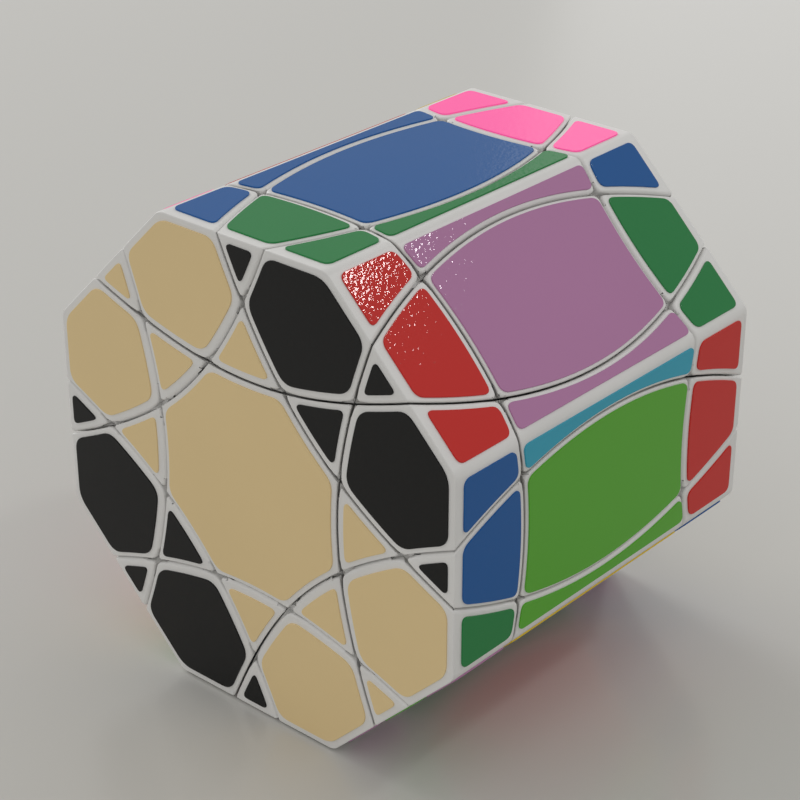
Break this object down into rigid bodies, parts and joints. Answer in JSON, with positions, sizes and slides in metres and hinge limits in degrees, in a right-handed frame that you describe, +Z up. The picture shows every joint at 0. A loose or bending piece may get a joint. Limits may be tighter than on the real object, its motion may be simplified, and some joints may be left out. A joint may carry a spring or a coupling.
{
  "type": "octagonal prism twisty puzzle",
  "caption": "Octagonal prism twisty puzzle in white plastic with coloured vinyl stickers, its end and side layers turning on a hidden core.",
  "frame": {"origin": "centre of the object on the surface it lies on, the outer face of the lowest stickers", "axes": "+Y along the prism axis from the front end to the back end, +Z up through the top side face, +X to the right seen from the front"},
  "size_m": [0.0664, 0.0594, 0.0664],
  "materials": {
    "white_plastic": "moulded white plastic, satin with a fine grain",
    "screw_steel": "zinc-plated steel",
    "spring_steel": "drawn spring wire",
    "sticker_tan": "tan vinyl sticker, semi-gloss",
    "sticker_blue": "blue vinyl sticker, semi-gloss",
    "sticker_green": "green vinyl sticker, semi-gloss",
    "sticker_purple": "orchid purple vinyl sticker, semi-gloss",
    "sticker_black": "black vinyl sticker, semi-gloss"
  },
  "bodies": {
    "middle": {"core": "white_plastic", "anchor_screws": "screw_steel", "anchor_springs": "spring_steel", "anchor_washers": "screw_steel", "side_anchors": "white_plastic", "panel_right": "white_plastic", "panel_left": "white_plastic", "edge_right_upper": "white_plastic", "edge_right_lower": "white_plastic", "edge_left_lower": "white_plastic", "edge_left_upper": "white_plastic", "middle_stickers": "sticker_green"},
    "top_layer": {"anchor_top": "white_plastic", "panel_top": "white_plastic", "panel_top_right": "white_plastic", "panel_top_left": "white_plastic", "edge_top_right": "white_plastic", "edge_top_left": "white_plastic", "top_stickers": "sticker_blue"},
    "bottom_layer": {"anchor_bottom": "white_plastic", "panel_bottom": "white_plastic", "panel_bottom_right": "white_plastic", "panel_bottom_left": "white_plastic", "edge_bottom_right": "white_plastic", "edge_bottom_left": "white_plastic", "bottom_stickers": "sticker_purple"},
    "front_layer": {"front_centre": "white_plastic", "front_cover": "white_plastic", "front_wedges": "white_plastic", "front_corners": "white_plastic", "front_keystones": "white_plastic", "front_stickers": "sticker_tan"},
    "front_top": {"front_top_wedge": "white_plastic", "front_top_corners": "white_plastic", "front_top_keystones": "white_plastic", "front_top_stickers": "sticker_blue"},
    "front_bottom": {"front_bottom_wedge": "white_plastic", "front_bottom_corners": "white_plastic", "front_bottom_keystones": "white_plastic", "front_bottom_stickers": "sticker_purple"},
    "back_layer": {"back_centre": "white_plastic", "back_cover": "white_plastic", "back_wedges": "white_plastic", "back_corners": "white_plastic", "back_keystones": "white_plastic", "back_stickers": "sticker_black"},
    "back_top": {"back_top_wedge": "white_plastic", "back_top_corners": "white_plastic", "back_top_keystones": "white_plastic", "back_top_stickers": "sticker_black"},
    "back_bottom": {"back_bottom_wedge": "white_plastic", "back_bottom_corners": "white_plastic", "back_bottom_keystones": "white_plastic", "back_bottom_stickers": "sticker_black"}
  },
  "joints": [
    {"name": "top_layer_turn", "type": "hinge", "parent": "middle", "child": "top_layer", "pos_m": [0, 0, 0.0332], "axis": [0, 0, 1], "continuous": true},
    {"name": "bottom_layer_turn", "type": "hinge", "parent": "middle", "child": "bottom_layer", "pos_m": [0, 0, 0.0332], "axis": [0, 0, -1], "continuous": true},
    {"name": "front_layer_turn", "type": "hinge", "parent": "middle", "child": "front_layer", "pos_m": [0, 0, 0.0332], "axis": [0, -1, 0], "range_deg": [-360, 360]},
    {"name": "front_top_turn", "type": "hinge", "parent": "top_layer", "child": "front_top", "pos_m": [0, 0, 0.0332], "axis": [0, -1, 0], "range_deg": [-360, 360]},
    {"name": "front_bottom_turn", "type": "hinge", "parent": "bottom_layer", "child": "front_bottom", "pos_m": [0, 0, 0.0332], "axis": [0, -1, 0], "range_deg": [-360, 360]},
    {"name": "back_layer_turn", "type": "hinge", "parent": "middle", "child": "back_layer", "pos_m": [0, 0, 0.0332], "axis": [0, 1, 0], "range_deg": [-360, 360]},
    {"name": "back_top_turn", "type": "hinge", "parent": "top_layer", "child": "back_top", "pos_m": [0, 0, 0.0332], "axis": [0, 1, 0], "range_deg": [-360, 360]},
    {"name": "back_bottom_turn", "type": "hinge", "parent": "bottom_layer", "child": "back_bottom", "pos_m": [0, 0, 0.0332], "axis": [0, 1, 0], "range_deg": [-360, 360]}
  ],
  "couplings": [
    {"joint": "front_top_turn", "follows": "front_layer_turn", "ratio": 1},
    {"joint": "front_bottom_turn", "follows": "front_layer_turn", "ratio": 1},
    {"joint": "back_top_turn", "follows": "back_layer_turn", "ratio": 1},
    {"joint": "back_bottom_turn", "follows": "back_layer_turn", "ratio": 1}
  ]
}
